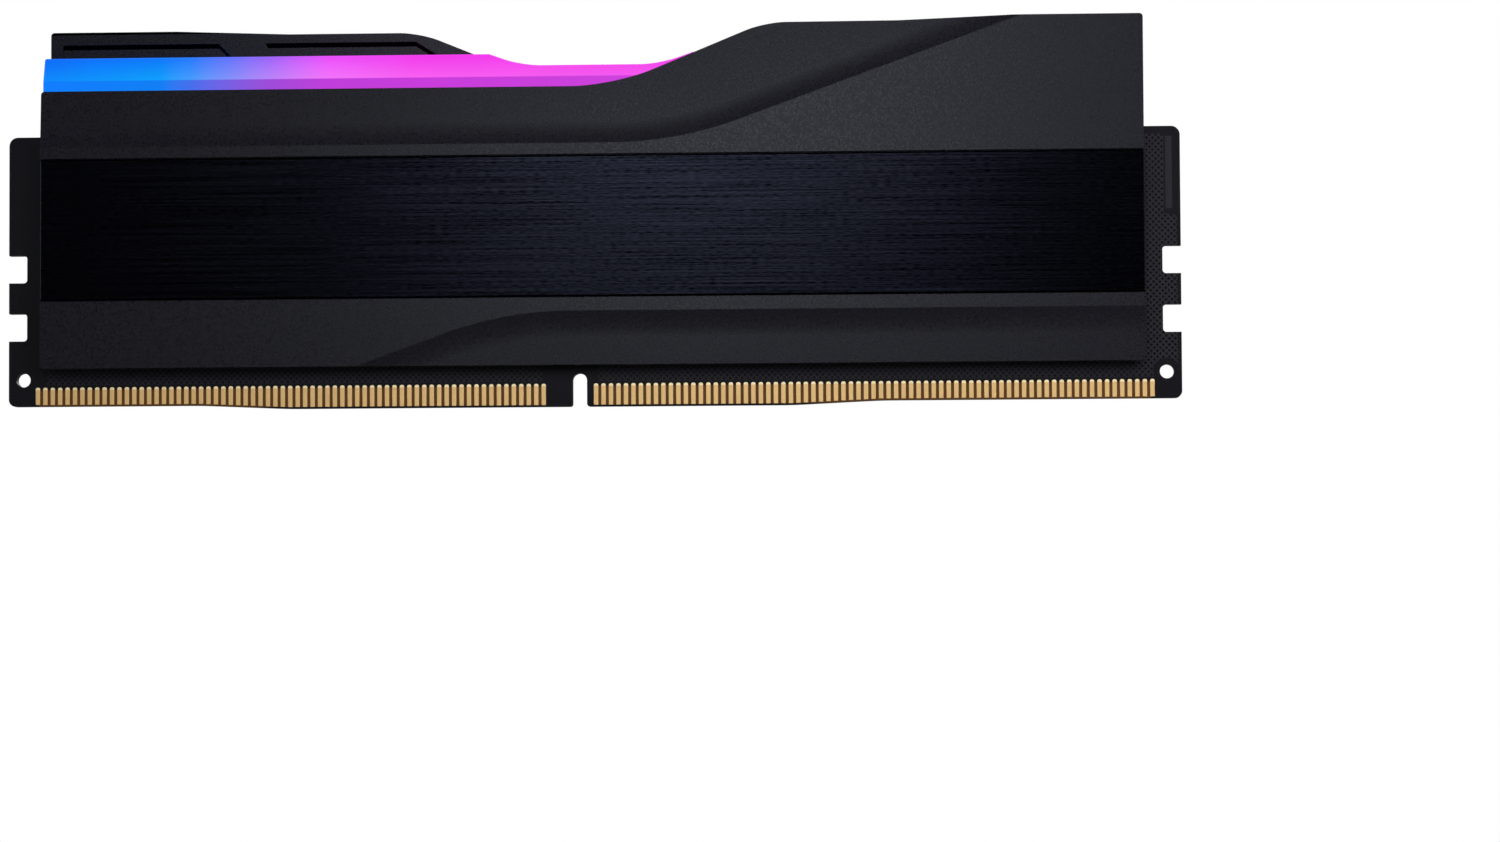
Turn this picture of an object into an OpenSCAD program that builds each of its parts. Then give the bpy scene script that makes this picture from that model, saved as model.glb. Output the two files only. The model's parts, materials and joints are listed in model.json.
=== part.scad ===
// Memory module with two ribbed heat spreaders and a light bar.
// X runs along the module, the front faces -Y, and Z = 0 is the lowest point of
// the contact edge, in the middle of the board. The back half is the front half
// turned half a turn about Z.

/* [Circuit board] */
// Length of the board
board_l = 133.35; // [120:0.05:150]
// Height of the board, from the lowest point of the contact edge
board_h = 31.25; // [28:0.05:40]
// Thickness of the board
board_t = 1.27; // [1:0.01:1.6]
// Radius of the two top corners
board_top_r = 1; // [0.4:0.1:2]
// Radius of the two bottom corners
board_bottom_r = 0.8; // [0.4:0.1:1.5]
// How much higher the ends of the contact edge lie than its middle
bow_rise = 0.45; // [0.1:0.05:0.8]
// Length of the sloping stretch between the ends and the middle
bow_run = 10; // [6:0.5:14]
// From the left end to the start of the slope
bow_left = 22; // [15:0.5:30]
// From the right end to the start of the slope
bow_right = 34; // [25:0.5:40]
// Middle of the key slot, measured from the middle of the board
key_x = -1.425; // [-3:0.025:0]
// Width of the key slot
key_w = 1.65; // [1.2:0.05:2.2]
// Height of the rounded end of the key slot
key_h = 3.75; // [3:0.05:5]
// Rounding at the mouth of the key slot
key_mouth_r = 0.3; // [0.1:0.05:0.6]
// Depth of the latch notches
notch_d = 2.08; // [1.6:0.02:2.6]
// Height of each latch notch
notch_h = 3.15; // [2.4:0.05:3.6]
// Middle of the lower latch notches
notch_low_z = 9.475; // [8:0.025:11]
// Distance between the lower and the upper latch notch
notch_pitch = 6.65; // [5:0.05:8]
// Radius of the inner corners of the latch notches
notch_r = 0.4; // [0.2:0.05:0.8]
// Diameter of the two index holes
index_d = 1.6; // [1.2:0.1:2]
// From the end of the board to the middle of the index hole
index_inset = 1.7; // [1.5:0.05:2.2]
// Height of the index holes
index_z = 3.45; // [3:0.05:5]

/* [Contacts] */
// Distance from one contact to the next
contact_pitch = 0.85; // [0.7:0.01:1]
// Width of a contact
contact_w = 0.6; // [0.4:0.01:0.65]
// Height of the top of the contacts
contact_top = 2.6; // [2:0.05:3.5]
// From the contact edge up to the contacts
contact_lift = 0.17; // [0.05:0.01:0.4]
// Thickness of the plating
contact_t = 0.05; // [0.03:0.01:0.1]
// Radius of the upper corners of a contact
contact_r = 0.2; // [0.05:0.01:0.2]
// From the middle of the key slot to the first contact on its left
key_left_gap = 4.1; // [3:0.05:5]
// From the middle of the key slot to the first contact on its right
key_right_gap = 1.85; // [1.6:0.05:3]
// Least distance from the end of the board to the middle of a contact
contact_end = 3.35; // [3:0.05:5]

/* [Heat spreaders] */
// Thickness of the whole module over both spreaders
module_t = 8.2; // [7.6:0.1:10]
// Free space between the two spreaders
spreader_gap = 5; // [4.6:0.1:5.6]
// From the end of the board to the end of the spreaders
spreader_inset = 4.175; // [3:0.025:6]
// Height of the lower edge of the spreaders
spreader_z = 4.55; // [4:0.05:6]
// Height of the low edge of the spreaders over the top of the board
low_rise = 4.9; // [4:0.05:6]
// Height of the fin's inner end over the top of the board
shoulder_rise = 11.95; // [10:0.05:12.2]
// Height of the fin's outer end over the top of the board
fin_rise = 12.4; // [12.3:0.05:14]
// Where the ramp of the fin would meet the low edge
ramp_x = 2.7; // [0:0.1:6]
// Slope of the ramp, in degrees
ramp_angle = 21.8; // [18:0.1:26]
// Radius at the foot of the ramp
ramp_foot_r = 27; // [10:0.5:30]
// Radius at the top of the ramp
ramp_top_r = 14; // [5:0.5:20]
// Where the top of the fin starts to rise to its outer end
fin_rise_x = 35; // [30:0.5:40]
// Where the top of the fin reaches its full height
fin_full_x = 48; // [44:0.5:54]
// Radius of the outer corners
spreader_r = 0.4; // [0.2:0.05:1]

/* [Relief] */
// Depth of the two coved fields
cove_d = 0.8; // [0.4:0.05:1]
// Width of the cove along the edge of a field
cove_w = 3.5; // [2:0.1:5]
// Radius of the bend in the edge of a field
field_bend_r = 42; // [20:1:60]
// Slope of the edge of a field, in degrees
field_angle = 20.3; // [15:0.1:25]
// Where the two straight stretches of the upper field's edge would meet
upper_bend_x = 10.3; // [5:0.1:15]
// Where the two straight stretches of the lower field's edge would meet
lower_bend_x = -9.6; // [-15:0.1:-5]
// Width of the strip between the plate and the upper field
upper_strip = 1.25; // [0.8:0.05:2]
// Width of the strip between the plate and the lower field
lower_strip = 1.37; // [0.8:0.05:2]
// Metal left between the coved field and the shallow pockets inside the fin
fin_web_t = 0.35; // [0.2:0.05:0.4]
// From the top of the fin's outer end down to the pockets
pocket_drop = 1.7; // [1.2:0.05:2.5]
// Height of the pockets
pocket_h = 4.4; // [3:0.1:5]
// From the end of the spreader to the outer pocket
pocket_inset = 1.4; // [1:0.1:3]
// Length of the top edge of the outer pocket
outer_pocket_l = 18; // [14:0.5:20]
// Length of the top edge of the inner pocket
inner_pocket_l = 17.3; // [14:0.1:20]
// Web between the top edges of the two pockets
pocket_web = 5.4; // [4:0.1:7]
// Slope of the outer pocket's inner end, in degrees
outer_pocket_angle = 48; // [40:1:60]
// Slope of the inner pocket's outer end, in degrees
web_angle = 59; // [50:1:70]
// Slope of the inner pocket's inner end, in degrees
inner_pocket_angle = 34; // [30:1:50]

/* [Brushed plates] */
// Height of the plates
plate_h = 16; // [12:0.1:18]
// Height of the lower edge of the plate channel
channel_z = 12.14; // [11.5:0.02:13]
// Thickness of a plate
plate_t = 0.5; // [0.3:0.05:0.7]
// How far a plate lies back from the spreader's face
plate_sink = 0.1; // [0.05:0.01:0.3]
// Thickness of the adhesive behind a plate
plate_glue_t = 0.1; // [0.05:0.01:0.2]
// From the edge of the plate to the edge of its adhesive
plate_glue_inset = 0.8; // [0.4:0.1:2]

/* [Light bar] */
// How far the bar reaches down over the edge of the board
bar_grip = 1.1; // [0.6:0.1:1.5]
// Height of the bar over the top of the board
bar_rise = 8.95; // [8:0.05:10]
// Height of the bar's upright flanks over the top of the board
bar_flank_rise = 6.2; // [5.5:0.05:7]
// Width of the top of the bar
bar_top_w = 2.6; // [2:0.1:4]
// Depth of the saddle in the middle of the bar
saddle_d = 1.4; // [0.8:0.05:2]
// Length of the saddle at the top of the bar
saddle_l = 23.2; // [20:0.1:28]
// Slope of the ends of the saddle, in degrees
saddle_angle = 20.3; // [15:0.1:26]
// Radius at the foot of the saddle's ends
saddle_r = 12; // [4:0.5:14]
// Rounding along the upper edges of the bar
bar_r = 0.3; // [0.1:0.05:0.6]

/* [Memory chips] */
// Width of a memory chip
dram_w = 10; // [8:0.1:11]
// Height of a memory chip
dram_h = 11; // [9:0.1:12]
// Thickness of a memory chip
dram_t = 1.1; // [0.9:0.05:1.2]
// Height of the middle of the memory chips
dram_z = 15; // [14:0.1:16]
// From the middle of the board to the first chip on each side
dram_first_x = 15.5; // [14:0.1:17]
// From the end of the spreader to the last chip
dram_end_gap = 1.8; // [1:0.1:4]
// Diameter of the dimple that marks the first pin
pin_mark_d = 0.8; // [0.5:0.1:1.2]
// Depth of that dimple
pin_mark_depth = 0.1; // [0.05:0.01:0.2]

/* [Power and control] */
// Width and height of the power controller
pmic_w = 5; // [4:0.1:5.5]
// Thickness of the power controller
pmic_t = 0.8; // [0.6:0.05:1]
// From the power inductors down to the power controller
pmic_drop = 2.6; // [2:0.1:3]
// Width of the configuration hub
hub_w = 3; // [2:0.1:4]
// Height of the configuration hub
hub_h = 2; // [1.5:0.1:3]
// Thickness of the configuration hub
hub_t = 0.75; // [0.5:0.05:1]
// Height of the middle of the configuration hub
hub_z = 9; // [8:0.1:10]
// Width of a power inductor
inductor_w = 2.5; // [2:0.1:3]
// Height of a power inductor
inductor_h = 3.2; // [2.5:0.1:3.4]
// Thickness of a power inductor
inductor_t = 1.2; // [0.8:0.05:1.4]
// Distance from one power inductor to the next
inductor_pitch = 4.5; // [4:0.1:6]
// From the light bar down to the power capacitors over the inductors
power_drop = 2.85; // [2.5:0.05:3.5]
// Width and height of the light controller
light_chip_w = 4; // [3:0.1:5]
// Thickness of the light controller
light_chip_t = 0.8; // [0.6:0.05:1]
// From the light bar down to the light controller
light_chip_drop = 0.9; // [0.6:0.05:1.2]
// Width of an indicator lamp
led_w = 3; // [2:0.1:4]
// Height of an indicator lamp
led_h = 1.1; // [0.8:0.05:1.2]
// How far an indicator lamp stands out from the board
led_d = 1; // [0.6:0.05:1.2]
// Number of indicator lamps
led_count = 8; // [4:1:12]

/* [Small parts] */
// Length of a large capacitor
big_cap_l = 1.6; // [1.2:0.1:2]
// Width and thickness of a large capacitor
big_cap_w = 0.8; // [0.6:0.05:1]
// Length of a small capacitor
small_cap_l = 1; // [0.8:0.05:1.2]
// Width and thickness of a small capacitor
small_cap_w = 0.5; // [0.3:0.05:0.6]
// Distance from one small capacitor to the next
small_cap_pitch = 2.2; // [1.6:0.1:2.4]
// Length of a resistor network
network_l = 2; // [1.6:0.1:2.4]
// Width of a resistor network
network_w = 1; // [0.8:0.05:1.2]
// Thickness of a resistor network
network_t = 0.45; // [0.3:0.05:0.6]
// Least distance from one resistor network to the next
network_pitch = 3.6; // [3:0.1:5]
// Height of the middle of the resistor networks
network_z = 6.3; // [6:0.1:7]
// Clear distance from the small parts to the chips
small_gap = 0.7; // [0.4:0.05:0.9]

/* [Pads and tapes] */
// Height of the pad behind the board
back_pad_h = 13; // [10:0.5:15]
// Height of the middle of the pad behind the board
back_pad_z = 15; // [14:0.1:16]
// From the end of the spreader to the pads and tapes
pad_inset = 2.5; // [1.5:0.1:5]
// Thickness of the tape on each side of the light bar
bar_tape_t = 0.1; // [0.05:0.01:0.2]
// Height of the tape on each side of the light bar
bar_tape_h = 4.2; // [3:0.1:4.5]

/* [Fits] */
// Gap between a plate and each edge of its channel
plate_fit = 0.13; // [0.05:0.01:0.3]
// Gap between the light bar and each face of the board
bar_fit = 0.1; // [0.05:0.01:0.2]
// Gap between an indicator lamp and the light bar
led_fit = 0.1; // [0.05:0.01:0.3]

/* [Hidden] */
// Straight steps in each rounded corner of an outline
corner_steps = 8;
// The same in the corners of a contact
contact_steps = 3;
// Straight steps in the bend of a field's edge
field_steps = 10;
// How far a cutting shape runs past the piece it cuts
over = 1;
$fn = 48;

board_end = board_l / 2;
board_face = board_t / 2;
face_y = module_t / 2;
inner_y = spreader_gap / 2;
spreader_end = board_end - spreader_inset;
low_z = board_h + low_rise;
shoulder_z = board_h + shoulder_rise;
fin_z = board_h + fin_rise;
channel_h = plate_h + 2 * plate_fit;
channel_d = plate_sink + plate_t + plate_glue_t;
pocket_d = face_y - cove_d - fin_web_t - inner_y;
bar_z = board_h - bar_grip;
bar_half = inner_y - bar_tape_t;
dram_last_x = spreader_end - dram_end_gap - dram_w / 2;
dram_pitch = (dram_last_x - dram_first_x) / 3;
dram_face = board_face + dram_t;
cap_row = small_gap + small_cap_w / 2;
power_row_z = bar_z - power_drop - big_cap_w / 2;
inductor_z = power_row_z - big_cap_w / 2 - small_gap - inductor_h / 2;
pmic_z = inductor_z - inductor_h / 2 - pmic_drop - pmic_w / 2;
led_pitch = 2 * spreader_end / led_count;
bow_left_x = -board_end + bow_left;
bow_right_x = board_end - bow_right;

// ---- outlines -------------------------------------------------------------

function unit(v) = v / norm(v);

function direction(v) = atan2(v.y, v.x);

// Points that round the corner b between a and c with radius r
function corner(a, b, c, r, steps) = r == 0 ? [b] : let(
    to_a = unit(a - b),
    to_c = unit(c - b),
    half = acos(to_a * to_c) / 2,
    centre = b + unit(to_a + to_c) * r / sin(half),
    first = direction(b + to_a * r / tan(half) - centre),
    last = direction(b + to_c * r / tan(half) - centre),
    sweep = (last - first + 540) % 360 - 180
) [for (i = [0:steps])
    let(turn = first + sweep * i / steps)
    centre + r * [cos(turn), sin(turn)]
];

// Outline through corners given as [x, y, radius]
function rounded(corners, steps = corner_steps) = let(n = len(corners)) [
    for (i = [0:n - 1])
        let(a = corners[(i + n - 1) % n], b = corners[i], c = corners[(i + 1) % n])
        each corner([a.x, a.y], [b.x, b.y], [c.x, c.y], b[2], steps)
];

// Height of the contact edge at a place along the board
function edge_z(x) =
    x < bow_left_x + bow_run
        ? bow_rise * min(1, max(0, (bow_left_x + bow_run - x) / bow_run))
        : bow_rise * min(1, max(0, (x - bow_right_x + bow_run) / bow_run));

// An outline in X and Z, filled from one depth to another
module slab(y_low, y_high) {
    translate([0, y_high, 0])
        rotate([90, 0, 0])
            linear_extrude(y_high - y_low)
                children();
}

// A block between two X, two Y and two Z values
module block(x, y, z) {
    translate([x[0], y[0], z[0]])
        cube([x[1] - x[0], y[1] - y[0], z[1] - z[0]]);
}

// A soldered part on the board's front, by its middle and its size
module front_part(x, z, w, h, t) {
    block([x - w / 2, x + w / 2], [-board_face - t, -board_face], [z - h / 2, z + h / 2]);
}

// The same on the back
module back_part(x, z, w, h, t) {
    block([x - w / 2, x + w / 2], [board_face, board_face + t], [z - h / 2, z + h / 2]);
}

module turned() {
    rotate([0, 0, 180])
        children();
}

// ---- circuit board --------------------------------------------------------

module board_blank() {
    slope_r = 60;
    polygon(rounded([
        [-board_end, bow_rise, board_bottom_r],
        [bow_left_x, bow_rise, slope_r],
        [bow_left_x + bow_run, 0, slope_r],
        [bow_right_x - bow_run, 0, slope_r],
        [bow_right_x, bow_rise, slope_r],
        [board_end, bow_rise, board_bottom_r],
        [board_end, board_h, board_top_r],
        [-board_end, board_h, board_top_r]
    ]));
}

// The slot with its rounded end, and the rounding of its mouth
module key_slot() {
    translate([key_x, key_h - key_w / 2])
        circle(d = key_w);
    translate([key_x - key_w / 2, -over])
        square([key_w, key_h - key_w / 2 + over]);
    for (side = [-1, 1])
        translate([key_x + side * key_w / 2, 0])
            mirror([side < 0 ? 1 : 0, 0])
                difference() {
                    translate([-over / 2, -over])
                        square([over / 2 + key_mouth_r, over + key_mouth_r]);
                    translate([key_mouth_r, key_mouth_r])
                        circle(r = key_mouth_r);
                    translate([key_mouth_r, -2 * over])
                        square(2 * over + key_mouth_r);
                }
}

module latch_notch(z) {
    bottom = z - notch_h / 2;
    for (end = [0, 1])
        translate([board_end - notch_d + notch_r, bottom + notch_r + end * (notch_h - 2 * notch_r)])
            circle(r = notch_r);
    translate([board_end - notch_d + notch_r, bottom])
        square([notch_d - notch_r + over, notch_h]);
    translate([board_end - notch_d, bottom + notch_r])
        square([2 * notch_r, notch_h - 2 * notch_r]);
}

module circuit_board() {
    color([0.1, 0.1, 0.12])
        difference() {
            slab(-board_face, board_face)
                difference() {
                    board_blank();
                    key_slot();
                    for (side = [0, 1])
                        mirror([side, 0])
                            for (i = [0, 1])
                                latch_notch(notch_low_z + i * notch_pitch);
                }
            for (side = [-1, 1])
                translate([side * (board_end - index_inset), board_face + over, index_z])
                    rotate([90, 0, 0])
                        cylinder(d = index_d, h = board_t + 2 * over);
        }
}

// ---- contacts -------------------------------------------------------------

module contact(x) {
    bottom = edge_z(x) + contact_lift;
    polygon(rounded([
        [x - contact_w / 2, bottom, 0],
        [x + contact_w / 2, bottom, 0],
        [x + contact_w / 2, contact_top, contact_r],
        [x - contact_w / 2, contact_top, contact_r]
    ], contact_steps));
}

// Every contact from one side of the key slot to the end of the board
module contact_row(first_x, side) {
    last = floor((board_end - contact_end - side * first_x) / contact_pitch + 0.001);
    for (i = [0:last])
        contact(first_x + side * i * contact_pitch);
}

module contact_set(y_low, y_high) {
    color([0.85, 0.68, 0.38])
        slab(y_low, y_high) {
            contact_row(key_x - key_left_gap, -1);
            contact_row(key_x + key_right_gap, 1);
        }
}

module front_contacts() {
    contact_set(-board_face - contact_t, -board_face);
}

module back_contacts() {
    contact_set(board_face, board_face + contact_t);
}

// ---- soldered parts -------------------------------------------------------

// Middle of a memory chip, counted from 0 at the left end
function dram_x(i) = i < 4
    ? -dram_first_x - (3 - i) * dram_pitch
    : dram_first_x + (i - 4) * dram_pitch;

module memory_chip(i) {
    mark_inset = pin_mark_d;
    color([0.13, 0.13, 0.14])
        difference() {
            front_part(dram_x(i), dram_z, dram_w, dram_h, dram_t);
            translate([
                dram_x(i) - dram_w / 2 + mark_inset,
                -dram_face + pin_mark_depth,
                dram_z + dram_h / 2 - mark_inset
            ])
                rotate([90, 0, 0])
                    cylinder(d = pin_mark_d, h = pin_mark_depth + over);
        }
}

module power_controller() {
    color([0.15, 0.15, 0.16])
        front_part(0, pmic_z, pmic_w, pmic_w, pmic_t);
}

module configuration_hub() {
    color([0.15, 0.15, 0.16])
        front_part(0, hub_z, hub_w, hub_h, hub_t);
}

module light_controller() {
    color([0.15, 0.15, 0.16])
        back_part(0, bar_z - light_chip_drop - light_chip_w / 2,
                  light_chip_w, light_chip_w, light_chip_t);
}

module power_inductor(i) {
    color([0.3, 0.3, 0.31])
        front_part((i - 1) * inductor_pitch, inductor_z, inductor_w, inductor_h, inductor_t);
}

// Three on each side of the power controller, and a row over the inductors
module power_capacitors() {
    side_x = pmic_w / 2 + small_gap + big_cap_l / 2;
    step = 2 * big_cap_w;
    color([0.62, 0.5, 0.36]) {
        for (side = [-1, 1], i = [-1:1])
            front_part(side * side_x, pmic_z + i * step, big_cap_l, big_cap_w, big_cap_w);
        for (i = [-1:1])
            front_part(i * inductor_pitch, power_row_z, big_cap_l, big_cap_w, big_cap_w);
    }
}

// Four over and four under each memory chip
module front_capacitors() {
    color([0.66, 0.54, 0.4])
        for (chip = [0:7], i = [-1.5:1.5], side = [-1, 1])
            front_part(
                dram_x(chip) + i * small_cap_pitch,
                dram_z + side * (dram_h / 2 + cap_row),
                small_cap_l, small_cap_w, small_cap_w
            );
}

// Four over and four under the pad, behind each memory chip
module back_capacitors() {
    color([0.66, 0.54, 0.4])
        for (chip = [0:7], i = [-1.5:1.5], side = [-1, 1])
            back_part(
                dram_x(chip) + i * small_cap_pitch,
                back_pad_z + side * (back_pad_h / 2 + cap_row),
                small_cap_l, small_cap_w, small_cap_w
            );
}

// One row over the contacts, on both sides of the key slot
module resistor_networks() {
    first = dram_first_x - dram_w / 2 - network_pitch;
    count = floor((dram_last_x - first) / network_pitch);
    color([0.08, 0.08, 0.09])
        for (side = [-1, 1], i = [0:count])
            front_part(side * (first + i * network_pitch), network_z, network_l, network_w, network_t);
}

module indicator_lamp(i) {
    top = bar_z - led_fit;
    color([0.95, 0.95, 0.88])
        front_part((i - (led_count - 1) / 2) * led_pitch, top - led_h / 2, led_w, led_h, led_d);
}

// ---- pads and tapes -------------------------------------------------------

module chip_pad(x_low, x_high) {
    color([0.6, 0.62, 0.66])
        block([x_low, x_high], [-inner_y, -dram_face],
              [dram_z - dram_h / 2, dram_z + dram_h / 2]);
}

module left_thermal_pad() {
    chip_pad(-dram_last_x - dram_w / 2, -dram_first_x + dram_w / 2);
}

module right_thermal_pad() {
    chip_pad(dram_first_x - dram_w / 2, dram_last_x + dram_w / 2);
}

module power_thermal_pad() {
    color([0.6, 0.62, 0.66])
        block([-pmic_w / 2, pmic_w / 2], [-inner_y, -board_face - pmic_t],
              [pmic_z - pmic_w / 2, pmic_z + pmic_w / 2]);
}

module back_thermal_pad() {
    reach = spreader_end - pad_inset;
    color([0.6, 0.62, 0.66])
        block([-reach, reach], [board_face, inner_y],
              [back_pad_z - back_pad_h / 2, back_pad_z + back_pad_h / 2]);
}

module bar_tape() {
    reach = spreader_end - pad_inset;
    middle = (board_h + low_z) / 2;
    color([0.9, 0.9, 0.88])
        block([-reach, reach], [-inner_y, -bar_half],
              [middle - bar_tape_h / 2, middle + bar_tape_h / 2]);
}

module front_bar_tape() {
    bar_tape();
}

module back_bar_tape() {
    turned()
        bar_tape();
}

// ---- heat spreaders -------------------------------------------------------

// Face coordinates: X along the module, Y up, and Z out of the front face
module on_face() {
    translate([0, -face_y, 0])
        rotate([90, 0, 0])
            children();
}

module spreader_outline() {
    ramp_top_x = ramp_x + (shoulder_z - low_z) / tan(ramp_angle);
    polygon(rounded([
        [-spreader_end, spreader_z, spreader_r],
        [spreader_end, spreader_z, spreader_r],
        [spreader_end, fin_z, spreader_r],
        [fin_full_x, fin_z, 0],
        [fin_rise_x, shoulder_z, 0],
        [ramp_top_x, shoulder_z, ramp_top_r],
        [ramp_x, low_z, ramp_foot_r],
        [-spreader_end, low_z, spreader_r]
    ]));
}

// Section through a coved field: the distance from the centre of the bend, and
// the depth. The floor is flat, and a circular cove leads up to the field's edge.
module field_section() {
    flat = field_bend_r - cove_w;
    cove_r = (cove_w * cove_w + cove_d * cove_d) / (2 * cove_d);
    translate([-board_l, -cove_d])
        square([board_l + flat, cove_d + over]);
    intersection() {
        translate([flat, -cove_d])
            square([cove_w, cove_d + over]);
        translate([flat, cove_r - cove_d])
            circle(r = cove_r, $fn = 180);
    }
}

// A field over a level edge that bends upwards: straight fields that all touch
// the circle of the bend, cut down to what they share. The origin is where the
// two straight stretches of the edge would meet.
module coved_field() {
    translate([-field_bend_r * tan(field_angle / 2), field_bend_r])
        intersection_for(i = [0:field_steps])
            rotate([90, 0, -90 + field_angle * i / field_steps])
                translate([0, 0, -board_l])
                    linear_extrude(2 * board_l)
                        field_section();
}

// Both pockets inside the fin, by their outlines in X and Z
module fin_pockets() {
    top = fin_z - pocket_drop;
    bottom = top - pocket_h;
    outer_end = spreader_end - pocket_inset;
    outer_start = outer_end - outer_pocket_l;
    inner_end = outer_start - pocket_web;
    inner_start = inner_end - inner_pocket_l;
    polygon([
        [outer_end, bottom],
        [outer_end, top],
        [outer_start, top],
        [outer_start - pocket_h / tan(outer_pocket_angle), bottom]
    ]);
    polygon([
        [inner_end - pocket_h / tan(web_angle), bottom],
        [inner_end, top],
        [inner_start, top],
        [inner_start - pocket_h / tan(inner_pocket_angle), bottom]
    ]);
}

module heat_spreader() {
    color([0.17, 0.17, 0.19])
        difference() {
            slab(-face_y, -inner_y)
                spreader_outline();
            on_face() {
                translate([upper_bend_x, channel_z + channel_h + upper_strip])
                    coved_field();
                translate([lower_bend_x, channel_z - lower_strip])
                    rotate([0, 0, 180])
                        coved_field();
            }
            block([-spreader_end - over, spreader_end + over],
                  [-face_y - over, -face_y + channel_d],
                  [channel_z, channel_z + channel_h]);
            slab(-inner_y - pocket_d, -inner_y + over)
                fin_pockets();
        }
}

module front_heat_spreader() {
    heat_spreader();
}

module back_heat_spreader() {
    turned()
        heat_spreader();
}

// ---- brushed plates -------------------------------------------------------

module plate_adhesive() {
    reach = spreader_end - plate_glue_inset;
    floor_y = -face_y + channel_d;
    low = channel_z + plate_fit + plate_glue_inset;
    color([0.85, 0.85, 0.82])
        block([-reach, reach], [floor_y - plate_glue_t, floor_y],
              [low, low + plate_h - 2 * plate_glue_inset]);
}

module brushed_plate() {
    front_y = -face_y + plate_sink;
    low = channel_z + plate_fit;
    color([0.06, 0.06, 0.09])
        block([-spreader_end, spreader_end], [front_y, front_y + plate_t], [low, low + plate_h]);
}

module front_plate_adhesive() {
    plate_adhesive();
}

module back_plate_adhesive() {
    turned()
        plate_adhesive();
}

module front_plate() {
    brushed_plate();
}

module back_plate() {
    turned()
        brushed_plate();
}

// ---- light bar ------------------------------------------------------------

// The bar from the front, with the saddle in its top edge
module bar_outline() {
    top = board_h + bar_rise;
    foot_x = saddle_l / 2 - saddle_d / tan(saddle_angle);
    polygon(rounded([
        [-spreader_end, bar_z, 0],
        [spreader_end, bar_z, 0],
        [spreader_end, top, bar_r],
        [saddle_l / 2, top, 0],
        [foot_x, top - saddle_d, saddle_r],
        [-foot_x, top - saddle_d, saddle_r],
        [-saddle_l / 2, top, 0],
        [-spreader_end, top, bar_r]
    ]));
}

// The bar from its end: upright flanks, then facets that lean in to the top
module bar_section() {
    flank_z = board_h + bar_flank_rise;
    top = board_h + bar_rise;
    polygon(rounded([
        [-bar_half, bar_z, 0],
        [bar_half, bar_z, 0],
        [bar_half, flank_z, 0],
        [bar_top_w / 2, top, bar_r],
        [-bar_top_w / 2, top, bar_r],
        [-bar_half, flank_z, 0]
    ]));
}

module light_bar() {
    slot = board_face + bar_fit;
    color([0.85, 0.35, 0.95])
        difference() {
            intersection() {
                slab(-bar_half, bar_half)
                    bar_outline();
                translate([-spreader_end - over, 0, 0])
                    rotate([90, 0, 90])
                        linear_extrude(2 * spreader_end + 2 * over)
                            bar_section();
            }
            block([-spreader_end - over, spreader_end + over], [-slot, slot],
                  [bar_z - over, board_h]);
        }
}

// ---- the assembly ---------------------------------------------------------

circuit_board();
front_contacts();
back_contacts();
for (i = [0:7])
    memory_chip(i);
power_controller();
configuration_hub();
light_controller();
for (i = [0:2])
    power_inductor(i);
power_capacitors();
front_capacitors();
back_capacitors();
resistor_networks();
for (i = [0:led_count - 1])
    indicator_lamp(i);
left_thermal_pad();
right_thermal_pad();
power_thermal_pad();
back_thermal_pad();
front_heat_spreader();
back_heat_spreader();
front_plate_adhesive();
back_plate_adhesive();
front_plate();
back_plate();
light_bar();
front_bar_tape();
back_bar_tape();
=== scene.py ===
import json
import math

import bpy
from mathutils import Matrix, Vector


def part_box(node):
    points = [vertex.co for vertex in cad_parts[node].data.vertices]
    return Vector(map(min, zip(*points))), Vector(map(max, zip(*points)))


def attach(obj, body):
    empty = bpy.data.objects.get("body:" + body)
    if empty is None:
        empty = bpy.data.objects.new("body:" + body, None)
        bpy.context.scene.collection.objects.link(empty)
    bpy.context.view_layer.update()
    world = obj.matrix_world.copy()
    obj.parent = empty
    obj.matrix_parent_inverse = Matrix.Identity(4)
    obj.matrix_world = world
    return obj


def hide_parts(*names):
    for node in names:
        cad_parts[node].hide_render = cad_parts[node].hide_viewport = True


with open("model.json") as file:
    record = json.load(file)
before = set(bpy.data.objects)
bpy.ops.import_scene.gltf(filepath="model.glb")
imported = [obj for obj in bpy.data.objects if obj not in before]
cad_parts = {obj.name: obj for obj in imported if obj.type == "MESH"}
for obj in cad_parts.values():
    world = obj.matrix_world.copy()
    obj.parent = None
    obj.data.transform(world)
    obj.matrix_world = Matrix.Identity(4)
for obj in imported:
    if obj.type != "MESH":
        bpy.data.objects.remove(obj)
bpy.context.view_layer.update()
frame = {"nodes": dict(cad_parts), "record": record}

mm = 0.001  # all sizes below are in millimetres, and all angles in degrees

near = 0.01     # places this close together count as one
past = 1        # how far cutters reach past what they cut
facing = 0.99   # share of a face's normal along an axis from which it faces that way

mending = {
    "onPlane": 0.001,       # corners this close to a cut lie on it
    "mergeWithin": 0.0005,
    "flatWithin": 0.02,
    "sortFrom": (310, 170, 230),    # no two corners are equally far from here
}


# helpers for modelling

def middle(span):
    return (span[0] + span[1]) / 2


def same(a, b, within=near):
    return abs(a - b) < within


def deselectAll():
    if bpy.context.mode != "OBJECT":
        bpy.ops.object.mode_set(mode="OBJECT")
    bpy.ops.object.select_all(action="DESELECT")


def nameActive(name):
    piece = bpy.context.active_object
    piece.name = name
    piece.data.name = name
    bpy.ops.object.transform_apply(location=True, rotation=True, scale=True)
    return piece


def makeActive(piece):
    deselectAll()
    piece.select_set(True)
    bpy.context.view_layer.objects.active = piece


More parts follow.
